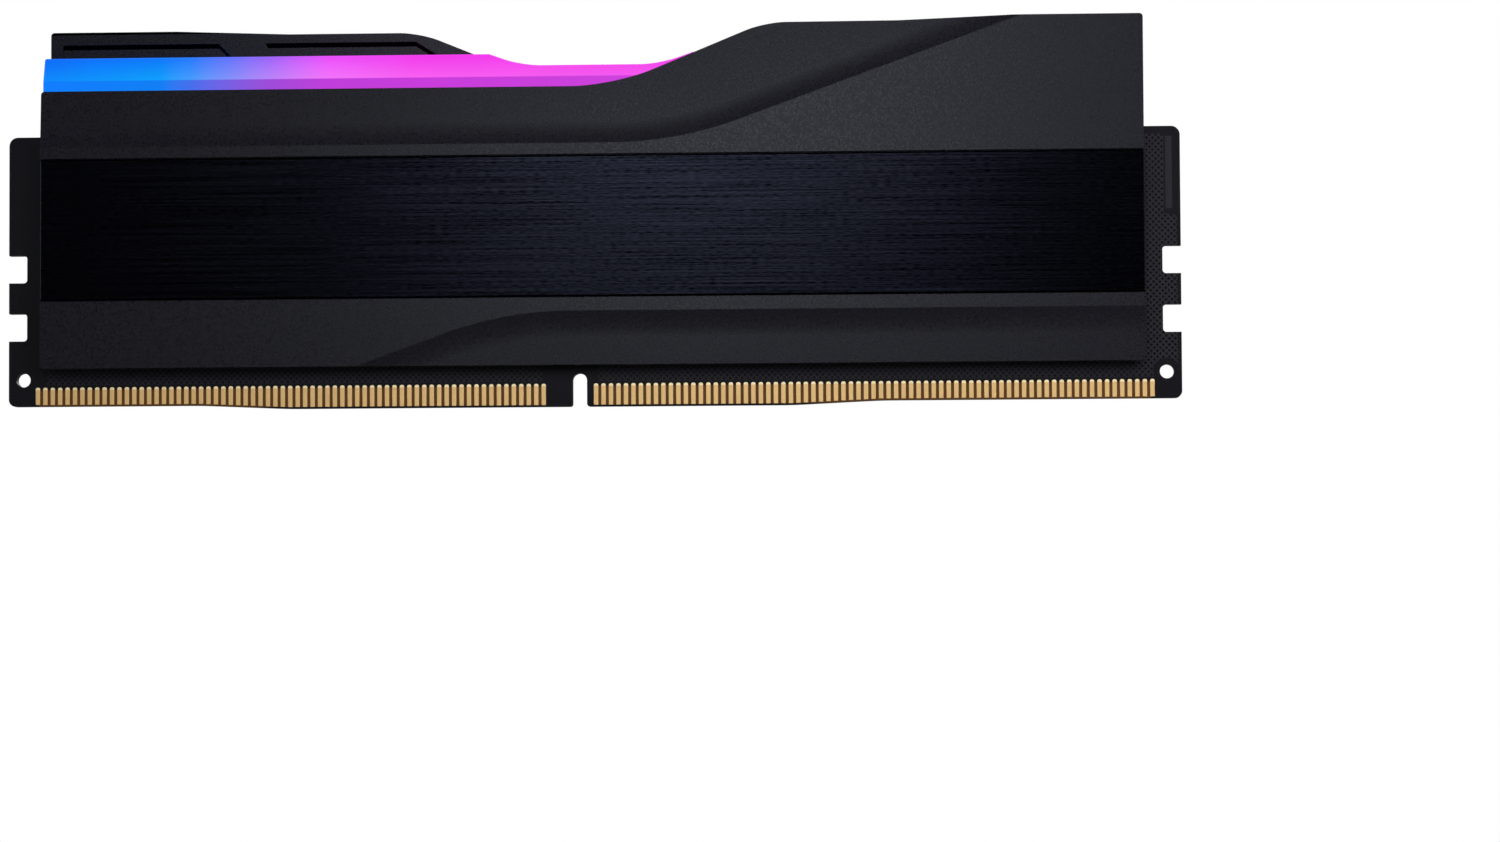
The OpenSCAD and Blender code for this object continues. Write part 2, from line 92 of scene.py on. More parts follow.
def addBlock(name, x, y, z):
    deselectAll()
    bpy.ops.mesh.primitive_cube_add(
        size=1,
        location=(middle(x) * mm, middle(y) * mm, middle(z) * mm),
        scale=((x[1] - x[0]) * mm, (y[1] - y[0]) * mm, (z[1] - z[0]) * mm))
    return nameActive(name)


def pick(piece, kind, test):
    # selects vertices, edges or faces by their place, and leaves the piece in edit mode
    makeActive(piece)
    mesh = piece.data
    for parts in (mesh.vertices, mesh.edges, mesh.polygons):
        parts.foreach_set("select", [False] * len(parts))
    points = [v.co / mm for v in mesh.vertices]
    if kind == "VERT":
        for vertex in mesh.vertices:
            vertex.select = test(points[vertex.index])
    elif kind == "EDGE":
        for edge in mesh.edges:
            a, b = edge.vertices
            if test(points[a], points[b]):
                edge.select = True
                mesh.vertices[a].select = mesh.vertices[b].select = True
    else:
        for face in mesh.polygons:
            if test(face.center / mm, face.normal):
                face.select = True
                for i in face.vertices:
                    mesh.vertices[i].select = True
    bpy.context.tool_settings.mesh_select_mode = (kind == "VERT", kind == "EDGE", kind == "FACE")
    bpy.ops.object.mode_set(mode="EDIT")
    bpy.ops.mesh.select_mode(type=kind)


def pickAll(piece):
    makeActive(piece)
    bpy.ops.object.mode_set(mode="EDIT")
    bpy.ops.mesh.select_all(action="SELECT")


def cut(piece, place, normal, dropOuter=False):
    pickAll(piece)
    bpy.ops.mesh.bisect(
        plane_co=Vector(place) * mm, plane_no=normal, threshold=mending["onPlane"] * mm,
        use_fill=dropOuter, clear_outer=dropOuter)
    bpy.ops.object.mode_set(mode="OBJECT")


def shift(x=0, y=0, z=0):
    bpy.ops.transform.translate(value=(x * mm, y * mm, z * mm))
    bpy.ops.object.mode_set(mode="OBJECT")


def extrudeBy(x=0, y=0, z=0):
    bpy.ops.mesh.extrude_region_move(TRANSFORM_OT_translate={"value": (x * mm, y * mm, z * mm)})


def bevelPicked(width, segments):
    bpy.ops.mesh.bevel(offset=width * mm, offset_type="OFFSET", segments=segments, profile=0.5,
                       affect="EDGES", clamp_overlap=False)
    bpy.ops.object.mode_set(mode="OBJECT")


def tidyMesh(piece, dissolve=False):
    pickAll(piece)
    bpy.ops.mesh.remove_doubles(threshold=mending["mergeWithin"] * mm)
    if dissolve:
        # a boolean leaves its corners in another order each run, so they are sorted first
        bpy.context.scene.cursor.location = Vector(mending["sortFrom"]) * mm
        bpy.ops.mesh.sort_elements(type="CURSOR_DISTANCE", elements={"VERT", "EDGE", "FACE"})
        bpy.ops.mesh.dissolve_limited(angle_limit=math.radians(mending["flatWithin"]))
    bpy.ops.mesh.select_all(action="SELECT")
    bpy.ops.mesh.normals_make_consistent(inside=False)
    bpy.ops.object.mode_set(mode="OBJECT")


def carve(piece, tool):
    # takes the tool's shape out of the piece
    makeActive(piece)
    bpy.ops.object.modifier_add(type="BOOLEAN")
    boolean = piece.modifiers[-1]
    boolean.operation = "DIFFERENCE"
    boolean.solver = "EXACT"
    boolean.object = tool
    bpy.ops.object.modifier_apply(modifier=boolean.name)
    bpy.data.objects.remove(tool, do_unlink=True)


def roundEdges(piece, width, segments, angle):
    makeActive(piece)
    bpy.ops.object.modifier_add(type="BEVEL")
    bevel = piece.modifiers[-1]
    bevel.width = width * mm
    bevel.segments = segments
    bevel.limit_method = "ANGLE"
    bevel.angle_limit = math.radians(angle)
    bevel.miter_outer = "MITER_ARC"
    bpy.ops.object.modifier_apply(modifier=bevel.name)


def smooth(piece, angle):
    # broad flat faces keep their own normals, and the curves beside them blend in
    makeActive(piece)
    bpy.ops.object.shade_smooth_by_angle(angle=math.radians(angle))
    bpy.ops.object.modifier_add(type="WEIGHTED_NORMAL")
    weighted = piece.modifiers[-1]
    weighted.keep_sharp = True
    weighted.weight = 100
    bpy.ops.object.modifier_apply(modifier=weighted.name)


def copyOf(piece, name, turned=False):
    twin = piece.copy()
    twin.data = piece.data.copy()
    twin.name = twin.data.name = name
    bpy.context.collection.objects.link(twin)
    if turned:  # half a turn about Z gives the back half
        makeActive(twin)
        twin.rotation_euler = (0, 0, math.pi)
        bpy.ops.object.transform_apply(location=True, rotation=True, scale=True)
    return twin


def dress(piece, material, slot, *nodes):
    piece.data.materials.clear()
    piece.data.materials.append(material)
    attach(piece, "root")
    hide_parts(*nodes)


# materials

def newMaterial(name):
    material = bpy.data.materials.new(name)
    material.use_nodes = True
    nodes, links = material.node_tree.nodes, material.node_tree.links
    shader = nodes["Principled BSDF"]
    return material, nodes, links, shader


def newGroup(name, inputs, outputs):
    group = bpy.data.node_groups.new(name, "ShaderNodeTree")
    for side, sockets in (("INPUT", inputs), ("OUTPUT", outputs)):
        for label, kind in sockets:
            group.interface.new_socket(name=label, in_out=side, socket_type=kind)
    start = group.nodes.new("NodeGroupInput")
    end = group.nodes.new("NodeGroupOutput")
    return group, group.nodes, group.links, start, end


def objectPoint(nodes):
    return nodes.new("ShaderNodeTexCoord").outputs["Object"]


def axesOf(nodes, links, point):
    split = nodes.new("ShaderNodeSeparateXYZ")
    links.new(point, split.inputs[0])
    return split.outputs


def mathNode(nodes, links, operation, a, b=None, clamp=False):
    node = nodes.new("ShaderNodeMath")
    node.operation = operation
    node.use_clamp = clamp
    for i, value in enumerate((a, b)):
        if value is None:
            continue
        if isinstance(value, (int, float)):
            node.inputs[i].default_value = value
        else:
            links.new(value, node.inputs[i])
    return node.outputs[0]


def mixColour(nodes, links, factor, a, b, blend="MIX"):
    node = nodes.new("ShaderNodeMix")
    node.data_type = "RGBA"
    node.blend_type = blend
    for socket, value in ((node.inputs[0], factor), (node.inputs[6], a), (node.inputs[7], b)):
        if isinstance(value, (int, float)):
            socket.default_value = value
        elif isinstance(value, (tuple, list)):
            socket.default_value = (*value, 1)
        else:
            links.new(value, socket)
    return node.outputs[2]


def stretched(nodes, links, source, scale):
    # a point scaled along each axis, in cycles per millimetre
    node = nodes.new("ShaderNodeMapping")
    node.vector_type = "POINT"
    node.inputs["Scale"].default_value = [s / mm for s in scale]
    links.new(source, node.inputs["Vector"])
    return node.outputs[0]


def noise(nodes, links, vector, detail, rough, scale=1):
    node = nodes.new("ShaderNodeTexNoise")
    node.inputs["Scale"].default_value = scale
    node.inputs["Detail"].default_value = detail
    node.inputs["Roughness"].default_value = rough
    links.new(vector, node.inputs["Vector"])
    return node.outputs["Fac"]


def remap(nodes, links, value, start, end, low=0, high=1, clamp=True, kind="LINEAR"):
    # start..end becomes low..high
    node = nodes.new("ShaderNodeMapRange")
    node.clamp = clamp
    node.interpolation_type = kind
    for label, number in zip(("From Min", "From Max", "To Min", "To Max"), (start, end, low, high)):
        node.inputs[label].default_value = number
    links.new(value, node.inputs["Value"])
    return node.outputs[0]


def between(nodes, links, value, start, end):
    # 0 before start, 1 after end, smooth in between
    return remap(nodes, links, value, start, end, kind="SMOOTHSTEP")


def inside(nodes, links, value, low, high, soft=0.06):
    # 1 between low and high millimetres, soft at both ends
    up = between(nodes, links, value, (low - soft) * mm, (low + soft) * mm)
    down = between(nodes, links, value, (high - soft) * mm, (high + soft) * mm)
    return mathNode(nodes, links, "SUBTRACT", up, down)


grainInputs = ("Size", "Contrast", "Roughness", "Roughness Change")
cloud = {   # a broad, faint unevenness that every grained surface has
    "scale": 140,
    "share": 0.16,
}


def buildGrainGroup():
    # fine all-over grain: a colour factor, a roughness and a height
    group, nodes, links, start, end = newGroup(
        "Fine grain",
        [("Vector", "NodeSocketVector")] + [(label, "NodeSocketFloat") for label in grainInputs],
        [(label, "NodeSocketFloat") for label in ("Shade", "Roughness", "Height")])
    cycles = mathNode(nodes, links, "DIVIDE", 1 / mm, start.outputs["Size"])
    scaled = nodes.new("ShaderNodeVectorMath")
    scaled.operation = "SCALE"
    links.new(start.outputs["Vector"], scaled.inputs[0])
    links.new(cycles, scaled.inputs["Scale"])
    fine = noise(nodes, links, scaled.outputs[0], detail=2, rough=0.6)
    broad = noise(nodes, links, start.outputs["Vector"], detail=4, rough=0.5, scale=cloud["scale"])
    centred = mathNode(nodes, links, "SUBTRACT", fine, 0.5)
    strong = mathNode(nodes, links, "MULTIPLY", centred, start.outputs["Contrast"])
    soft = mathNode(nodes, links, "SUBTRACT", broad, 0.5)
    soft = mathNode(nodes, links, "MULTIPLY", soft, cloud["share"])
    both = mathNode(nodes, links, "ADD", strong, soft)
    links.new(mathNode(nodes, links, "ADD", both, 1.0), end.inputs["Shade"])
    change = mathNode(nodes, links, "MULTIPLY", centred, start.outputs["Roughness Change"])
    links.new(mathNode(nodes, links, "ADD", change, start.outputs["Roughness"]), end.inputs["Roughness"])
    links.new(fine, end.inputs["Height"])
    return group


grainGroup = buildGrainGroup()


def addGrain(nodes, links, source, values):
    # size in millimetres, contrast, roughness, and how far the roughness changes
    node = nodes.new("ShaderNodeGroup")
    node.node_tree = grainGroup
    for label, value in zip(grainInputs, values):
        node.inputs[label].default_value = value
    links.new(source, node.inputs["Vector"])
    return node.outputs


def addBump(nodes, links, shader, height, depth):
    bump = nodes.new("ShaderNodeBump")
    bump.inputs["Strength"].default_value = 1
    bump.inputs["Distance"].default_value = depth * mm
    links.new(height, bump.inputs["Height"])
    links.new(bump.outputs["Normal"], shader.inputs["Normal"])


def shadeColour(nodes, links, shade, colour):
    # a base colour made lighter or darker by a factor
    grey = nodes.new("ShaderNodeCombineColor")
    for i in range(3):
        links.new(shade, grey.inputs[i])
    return mixColour(nodes, links, 1.0, colour, grey.outputs[0], "MULTIPLY")


def coat(nodes, links, shader, shade, colour, roughness, height, bumpDepth):
    links.new(shadeColour(nodes, links, shade, colour), shader.inputs["Base Color"])
    links.new(roughness, shader.inputs["Roughness"])
    addBump(nodes, links, shader, height, bumpDepth)


satinCoat = {
    "colour": (0.0055, 0.0050, 0.0082),
    "grain": (0.25, 1.6, 0.29, 0.25),
    "bumpDepth": 0.004,
    "specular": 0.3,
    # painted shade: the walls of the fin's pockets and the inner edge along its top are coloured near black
    "pocketShade": ((12.0, 61.6), (2.52, 3.04), (37.2, 42.3)),
    "rimShade": ((30.0, 63.0), (2.3, 2.72), (43.36, 44.0)),
    "zoneSoftness": 0.01,
    "darkest": 0.15,
}


def makeSatinCoat():
    material, nodes, links, shader = newMaterial("Satin black coat")
    place = objectPoint(nodes)
    grain = addGrain(nodes, links, place, satinCoat["grain"])
    # both halves are alike, so the zones are the same on either side of the middle
    sizes = [mathNode(nodes, links, "ABSOLUTE", axis) for axis in axesOf(nodes, links, place)]
    # painted shade darkens the coat inside the pockets and along the fin's inner top edge
    shadeZones = []
    for key in ("pocketShade", "rimShade"):
        parts = [inside(nodes, links, size, *span, satinCoat["zoneSoftness"])
                 for size, span in zip(sizes, satinCoat[key])]
        flat = mathNode(nodes, links, "MULTIPLY", *parts[:2])
        shadeZones.append(mathNode(nodes, links, "MULTIPLY", flat, parts[2]))
    paintedShade = mathNode(nodes, links, "MAXIMUM", *shadeZones)
    paintedDarkening = mathNode(nodes, links, "MULTIPLY", paintedShade, satinCoat["darkest"] - 1)
    shade = mathNode(nodes, links, "MULTIPLY", grain["Shade"], mathNode(nodes, links, "ADD", paintedDarkening, 1.0))
    coat(nodes, links, shader, shade, satinCoat["colour"], grain["Roughness"], grain["Height"],
         satinCoat["bumpDepth"])
    # the zones of painted shade lose the gloss of the coat as well
    links.new(paintedShade, shader.inputs["Metallic"])
    shader.inputs["Specular IOR Level"].default_value = satinCoat["specular"]
    return material


brushedFinish = {
    "colour": (0.0081, 0.0084, 0.0127),
    "streak": (0.035, 7.5),     # cycles per millimetre along and across the brushing
    "fineStreak": (1.26, 8.25),
    "fineShare": 0.3,
    "contrast": (-2.7, 4.7),
    "darkest": 0.05,
    "roughness": (0.19, 0.31),
    # painted highlight: the shade painted along and up each plate in place of the key light's reflection
    "paintedSheenX": (-45, 58, 1.6, 0.6),      # millimetres and the shade at each end
    "paintedSheenZ": (12, 28, 0.82, 1.12),
    "bumpDepth": 0.0015,
    "anisotropy": 0.6,
    "quarterTurn": 0.25,
}


def makeBrushedFinish():
    material, nodes, links, shader = newMaterial("Brushed black anodising")
    place = objectPoint(nodes)
    b = brushedFinish
    streaks = []
    for key, detail, rough, share in (("streak", 2, 0.85, 1 - b["fineShare"]),
                                      ("fineStreak", 0, 0.6, b["fineShare"])):
        along, across = b[key]
        pattern = noise(nodes, links, stretched(nodes, links, place, (along, 1, across)), detail, rough)
        streaks.append(mathNode(nodes, links, "MULTIPLY", pattern, share))
    both = mathNode(nodes, links, "ADD", *streaks)
    shade = remap(nodes, links, both, 0, 1, *b["contrast"], clamp=False)
    shade = mathNode(nodes, links, "MAXIMUM", shade, b["darkest"])
    # painted highlight: each plate is painted lighter towards one end and darker towards the other end and
    # its lower edge, where the key light's reflection falls
    x, y, z = axesOf(nodes, links, place)
    outward = mathNode(nodes, links, "MULTIPLY", mathNode(nodes, links, "SIGN", y), -1.0)
    x = mathNode(nodes, links, "MULTIPLY", x, outward)
    for value, key in ((x, "paintedSheenX"), (z, "paintedSheenZ")):
        start, end, low, high = b[key]
        paintedSheen = remap(nodes, links, value, start * mm, end * mm, low, high)
        shade = mathNode(nodes, links, "MULTIPLY", shade, paintedSheen)
    roughness = remap(nodes, links, both, 0, 1, *b["roughness"])
    coat(nodes, links, shader, shade, b["colour"], roughness, both, b["bumpDepth"])
    shader.inputs["Metallic"].default_value = 1
    shader.inputs["Anisotropic"].default_value = b["anisotropy"]
    shader.inputs["Anisotropic Rotation"].default_value = b["quarterTurn"]
    return material


goldPlating = {
    "colour": (0.78, 0.50, 0.205),
    # painted highlight along the top end of each contact
    "paintedHighlightColour": (1.0, 0.80, 0.47),
    "paintedHighlightZ": (2.25, 2.4),
    "grain": (0.08, 0.35, 0.34, 0.2),
    "bumpDepth": 0.0015,
    "metallic": 0.35,
}


def makeGoldPlating():
    material, nodes, links, shader = newMaterial("Hard gold plating")
    place = objectPoint(nodes)
    grain = addGrain(nodes, links, place, goldPlating["grain"])
    height = axesOf(nodes, links, place)["Z"]
    # a painted highlight lightens the top end of each contact
    paintedHighlight = between(nodes, links, height, *(z * mm for z in goldPlating["paintedHighlightZ"]))
    gold = mixColour(nodes, links, paintedHighlight, goldPlating["colour"], goldPlating["paintedHighlightColour"])
    coat(nodes, links, shader, grain["Shade"], gold, grain["Roughness"], grain["Height"],
         goldPlating["bumpDepth"])
    shader.inputs["Metallic"].default_value = goldPlating["metallic"]
    return material


maskCoat = {
    "colour": (0.0042, 0.0039, 0.0056),
    "hatchColour": (0.0158, 0.0144, 0.0190),
    "dotColour": (0.0015, 0.0015, 0.0022),
    "barColour": (0.0145, 0.0140, 0.0168),
    "edgeColour": (0.020, 0.021, 0.012),
    # painted reflection of the gold in the gaps between the contacts
    "paintedGapGlow": (0.085, 0.036, 0.009),
    "faintBelow": (61.2, 62.4, 0.9),    # left of here the hatch is fainter, by this factor
    "hatchPitch": 0.68,
    "dots": (0.42, 0.72),           # edge of each dark opening, in the height of the grid's waves
    "hatchX": (-62.3, 70),          # past the board's right end, where hatchRight takes over
    "hatchZ": (2.85, 30.4),
    "hatchRight": (64.8, 66.25),    # beside the smooth bar and below it
    "barFoot": (21.1, 21.4),
    "bar": (65.0, 65.75, 21.9, 30.1),
    "hole": (64.975, 3.45, 1.5, 1.6),       # place of each hole and edge of the smooth ring
    "keyX": (-5.65, 0.55),
    "gapX": (-63.1, 63.1),
    "gapZ": (0.2, 2.3),
    "halfThickness": 0.6,
    "grain": (0.1, 0.5, 0.42, 0.12),
    "grainRelief": 0.15,
    "bumpDepth": 0.01,
    "specular": 0.2,
}


def makeMaskCoat():
    m = maskCoat
    material, nodes, links, shader = newMaterial("Black solder mask")
    place = objectPoint(nodes)
    x, y, z = axesOf(nodes, links, place)
    # the copper hatch under the mask: a slanted grid with small dark openings
    cycle = math.pi / (m["hatchPitch"] * mm)
    slopes = [mathNode(nodes, links, op, x, z) for op in ("ADD", "SUBTRACT")]
    waves = [mathNode(nodes, links, "ABSOLUTE",
                      mathNode(nodes, links, "SINE", mathNode(nodes, links, "MULTIPLY", s, cycle)))
             for s in slopes]
    dots = between(nodes, links, mathNode(nodes, links, "MINIMUM", *waves), *m["dots"])
    hatch = mixColour(nodes, links, dots, m["hatchColour"], m["dotColour"])
    # where the hatch runs: not on the left margin, not round the holes, not beside the key slot
    upper = between(nodes, links, z, *(edge * mm for edge in m["barFoot"]))
    nearRight, farRight = m["hatchRight"]
    limit = mathNode(nodes, links, "SUBTRACT", farRight * mm,
                     mathNode(nodes, links, "MULTIPLY", upper, (farRight - nearRight) * mm))
    hatched = mathNode(nodes, links, "LESS_THAN", x, limit)
    holeX, holeZ, ringStart, ringEnd = (size * mm for size in m["hole"])
    fromHoleX = mathNode(nodes, links, "SUBTRACT", mathNode(nodes, links, "ABSOLUTE", x), holeX)
    fromHoleZ = mathNode(nodes, links, "SUBTRACT", z, holeZ)
    reach = mathNode(nodes, links, "SQRT", mathNode(
        nodes, links, "ADD", mathNode(nodes, links, "MULTIPLY", fromHoleX, fromHoleX),
        mathNode(nodes, links, "MULTIPLY", fromHoleZ, fromHoleZ)))
    awayFromKey = mathNode(nodes, links, "SUBTRACT", 1.0, inside(nodes, links, x, *m["keyX"]))
    low, high, faint = m["faintBelow"]
    strong = mathNode(nodes, links, "ADD", faint, mathNode(
        nodes, links, "MULTIPLY", between(nodes, links, x, low * mm, high * mm), 1 - faint))
    for part in (strong, inside(nodes, links, x, *m["hatchX"]), inside(nodes, links, z, *m["hatchZ"]),
                 between(nodes, links, reach, ringStart, ringEnd), awayFromKey):
        hatched = mathNode(nodes, links, "MULTIPLY", hatched, part)
    mask = mixColour(nodes, links, hatched, m["colour"], hatch)
    left, right, low, high = m["bar"]
    onBar = mathNode(nodes, links, "MULTIPLY", inside(nodes, links, x, left, right),
                     inside(nodes, links, z, low, high))
    mask = mixColour(nodes, links, onBar, mask, m["barColour"])
    # painted reflection: the gaps between the contacts are painted with the gold's reflected glow
    inGap = mathNode(nodes, links, "MULTIPLY", inside(nodes, links, x, *m["gapX"]),
                     inside(nodes, links, z, *m["gapZ"]))
    inGap = mathNode(nodes, links, "MULTIPLY", inGap, awayFromKey)
    mask = mixColour(nodes, links, inGap, mask, m["paintedGapGlow"])
    depth = mathNode(nodes, links, "ABSOLUTE", y)
    face = mathNode(nodes, links, "GREATER_THAN", depth, m["halfThickness"] * mm)
    colour = mixColour(nodes, links, face, m["edgeColour"], mask)
    grain = addGrain(nodes, links, place, m["grain"])
    relief = mathNode(nodes, links, "SUBTRACT",
                      mathNode(nodes, links, "MULTIPLY", grain["Height"], m["grainRelief"]),
                      mathNode(nodes, links, "MULTIPLY", dots, hatched))
    coat(nodes, links, shader, grain["Shade"], colour, grain["Roughness"], relief, m["bumpDepth"])
    shader.inputs["Specular IOR Level"].default_value = m["specular"]
    return material


barGlow = {
    # place along the bar and the colours there: the leaning facet at its top, at its foot, and the flank,
    # whose glow is painted darker as shade
    "stops": [
        (-62.5, (0.000, 0.150, 0.982), (0.000, 0.250, 0.973), (0.001, 0.202, 0.982)),
        (-49.0, (0.000, 0.178, 0.973), (0.000, 0.352, 0.973), (0.000, 0.209, 0.922)),
        (-45.5, (0.014, 0.181, 0.965), (0.056, 0.328, 0.973), (0.054, 0.153, 0.839)),
        (-41.0, (0.120, 0.162, 0.939), (0.231, 0.287, 0.965), (0.188, 0.109, 0.761)),
        (-36.5, (0.332, 0.120, 0.939), (0.503, 0.240, 0.991), (0.356, 0.068, 0.730)),
        (-30.0, (0.807, 0.064, 0.956), (0.913, 0.175, 0.973), (0.527, 0.042, 0.716)),
        (-20.0, (0.922, 0.034, 0.871), (0.947, 0.110, 0.880), (0.571, 0.038, 0.708)),
        (62.5, (0.939, 0.030, 0.888), (0.922, 0.070, 0.880), (0.745, 0.060, 0.791)),
    ],
    "flankTop": 37.45,
    "facetTop": 40.2,
    "edgeSoftness": 0.08,
    "strength": 1.0,
    "patches": (0.09, 0.2, 0.25),   # cycles per millimetre
    "patchShade": (0.9, 1.06),
    "unlitColour": (0.004, 0.004, 0.004),
    "grain": (0.5, 0.1, 0.3, 0.1),
    "specular": 0.08,
}


def glowRamp(nodes, links, source, which):
    ramp = nodes.new("ShaderNodeValToRGB")
    stops = barGlow["stops"]
    length = stops[-1][0] - stops[0][0]
    elements = ramp.color_ramp.elements
    while len(elements) < len(stops):
        elements.new(0.5)
    for element, stop in zip(elements, stops):
        element.position = (stop[0] - stops[0][0]) / length
        element.color = (*stop[which], 1)
    links.new(source, ramp.inputs[0])
    return ramp.outputs[0]


def makeBarPlastic():
    material, nodes, links, shader = newMaterial("Lit milky plastic")
    place = objectPoint(nodes)
    axes = axesOf(nodes, links, place)
    glow = barGlow
    along = remap(nodes, links, axes["X"], glow["stops"][0][0] * mm, glow["stops"][-1][0] * mm)
    rise = remap(nodes, links, axes["Z"], glow["flankTop"] * mm, glow["facetTop"] * mm)
    facetTop, facetFoot, shadedFlank = (glowRamp(nodes, links, along, which) for which in (1, 2, 3))
    facet = mixColour(nodes, links, rise, facetFoot, facetTop)
    edge, soft = glow["flankTop"], glow["edgeSoftness"]
    onFacet = between(nodes, links, axes["Z"], (edge - soft) * mm, (edge + soft) * mm)
    # the glow is the bar's own light, and the flank's glow is painted darker as shade
    lit = mixColour(nodes, links, onFacet, shadedFlank, facet)
    # the lamps inside leave soft brighter patches
    patches = noise(nodes, links, stretched(nodes, links, place, glow["patches"]), detail=1, rough=0.4)
    lit = shadeColour(nodes, links, remap(nodes, links, patches, 0, 1, *glow["patchShade"]), lit)
    links.new(lit, shader.inputs["Emission Color"])
    shader.inputs["Emission Strength"].default_value = glow["strength"]
    shader.inputs["Base Color"].default_value = (*glow["unlitColour"], 1)
    grain = addGrain(nodes, links, place, glow["grain"])
    links.new(grain["Roughness"], shader.inputs["Roughness"])
    shader.inputs["Specular IOR Level"].default_value = glow["specular"]
    return material


# colour, then size of the grain, its contrast, the roughness and how far it changes
plainFinishes = {
    "chip_moulding": ("Black moulding compound", (0.014, 0.014, 0.015), (0.08, 0.6, 0.55, 0.12)),
    "inductor": ("Pressed grey ferrite", (0.05, 0.05, 0.053), (0.12, 0.9, 0.6, 0.12)),
    "capacitor": ("Fired ceramic", (0.30, 0.19, 0.10), (0.1, 0.4, 0.45, 0.12)),
    "resistor": ("Black glaze", (0.015, 0.015, 0.017), (0.1, 0.4, 0.3, 0.12)),
    "lamp": ("White lamp moulding", (0.75, 0.75, 0.68), (0.2, 0.1, 0.35, 0.12)),
    "thermal_pad": ("Filled silicone pad", (0.24, 0.26, 0.30), (0.14, 0.5, 0.75, 0.12)),
    "tape": ("Double-sided tape", (0.55, 0.55, 0.52), (0.3, 0.2, 0.7, 0.12)),
}
plainBumpDepth = 0.004


def makePlain(name, colour, values):
    # a moulded, fired or cast finish with its own grain
    material, nodes, links, shader = newMaterial(name)
    grain = addGrain(nodes, links, objectPoint(nodes), values)
    coat(nodes, links, shader, grain["Shade"], colour, grain["Roughness"], grain["Height"], plainBumpDepth)
    return material


satinMaterial = makeSatinCoat()
brushedMaterial = makeBrushedFinish()
goldMaterial = makeGoldPlating()
maskMaterial = makeMaskCoat()
barMaterial = makeBarPlastic()
hiddenMaterials = {slot: makePlain(*finish) for slot, finish in plainFinishes.items()}
print("materials made")


# heat spreaders

spreader = {
    "endX": 62.5,
    "outerY": -4.1,
    "innerY": -2.5,
    "bottom": 4.55,
    "lowEdge": 36.15,
    "shoulder": 43.2,
    "finTop": 43.65,
    "rampX": 2.7,
    "rampAngle": 22.3,
    "footRadius": 24,
    "topRadius": 12,
    "riseX": 35,
    "fullX": 48,
    "cornerRadius": 0.4,
    "edgeRound": 0.12,
    "rampSteps": (14, 12),
    "cornerSteps": 12,
    "channel": (12.14, 28.4),
    "channelDepth": 0.7,
    "coveSlope": 11,
    "coveSteps": 360,       # corners of the whole circle that the cove is an arc of
    "bendRadius": 42,
    "bendSteps": 28,
    "fieldAngle": 19.8,
    "fieldWidth": 28,       # the cutter runs this far past the cove, and this far along each way
    "slopeLength": 70,
    "levelLength": 90,
    "upperBend": (10.0, 29.65, 4.4, 22),    # bend of the field's edge, tilt of its floor, cove radius
    "lowerBend": (-9.6, 10.65, 1.0, 17),
    "pocketDepth": 0.55,
    "pocketTop": 42.2,
    "pocketHeight": 4.55,
    "pocketLip": 0.5,       # how far each pocket's top wall leans
    # ends of the pockets' top edges, and how far the bottom edge runs on at each end
    "pockets": [(43.1, 61.1, 3.96, 0.0), (20.4, 37.7, 6.52, -2.64)],
}


def makeFieldTool(bend, side):
    # a coved cutter swept along the field's edge: straight, round the bend, straight again
    s = spreader
    onPlane = mending["onPlane"]
    bendX, bendZ, tilt, coveRadius = bend
    slope = math.radians(s["coveSlope"])
    deepest = coveRadius * math.sin(slope)      # from the crisp edge to the deepest part of the arc
    width = deepest - coveRadius * math.sin(math.radians(tilt))
    angle = math.radians(s["fieldAngle"])
    startX = bendX - side * s["bendRadius"] * math.tan(angle / 2)
    deselectAll()
    bpy.ops.mesh.primitive_circle_add(
        vertices=s["coveSteps"], radius=coveRadius * mm, fill_type="NGON", rotation=(0, math.pi / 2, 0),
        location=(startX * mm, (s["outerY"] - coveRadius * math.cos(slope)) * mm,
                  (bendZ + side * deepest) * mm))
    tool = nameActive("fieldTool")
    cut(tool, (0, 0, bendZ), (0, 0, -side), dropOuter=True)
    cut(tool, (0, 0, bendZ + side * width), (0, 0, side), dropOuter=True)
    cut(tool, (0, s["outerY"] - past, 0), (0, -1, 0), dropOuter=True)
    # the flat floor of the field
    floorZ = bendZ + side * width
    pick(tool, "EDGE", lambda a, b: same(a.z, floorZ, onPlane) and same(b.z, floorZ, onPlane))
    extrudeBy(y=s["fieldWidth"] * math.tan(math.radians(tilt)), z=side * s["fieldWidth"])
    # round the bend and on along the slope
    bpy.ops.mesh.select_all(action="SELECT")
    bpy.ops.mesh.spin(
        steps=s["bendSteps"], angle=angle, axis=(0, 1, 0),
        center=(startX * mm, 0, (bendZ + side * s["bendRadius"]) * mm))
    bpy.ops.mesh.select_mode(type="FACE")
    extrudeBy(x=side * s["slopeLength"] * math.cos(angle), z=side * s["slopeLength"] * math.sin(angle))
    bpy.ops.object.mode_set(mode="OBJECT")
    pick(tool, "FACE", lambda c, n: same(c.x, startX, onPlane) and abs(n.x) > facing)
    extrudeBy(x=-side * s["levelLength"])
    bpy.ops.object.mode_set(mode="OBJECT")
    tidyMesh(tool)
    return tool


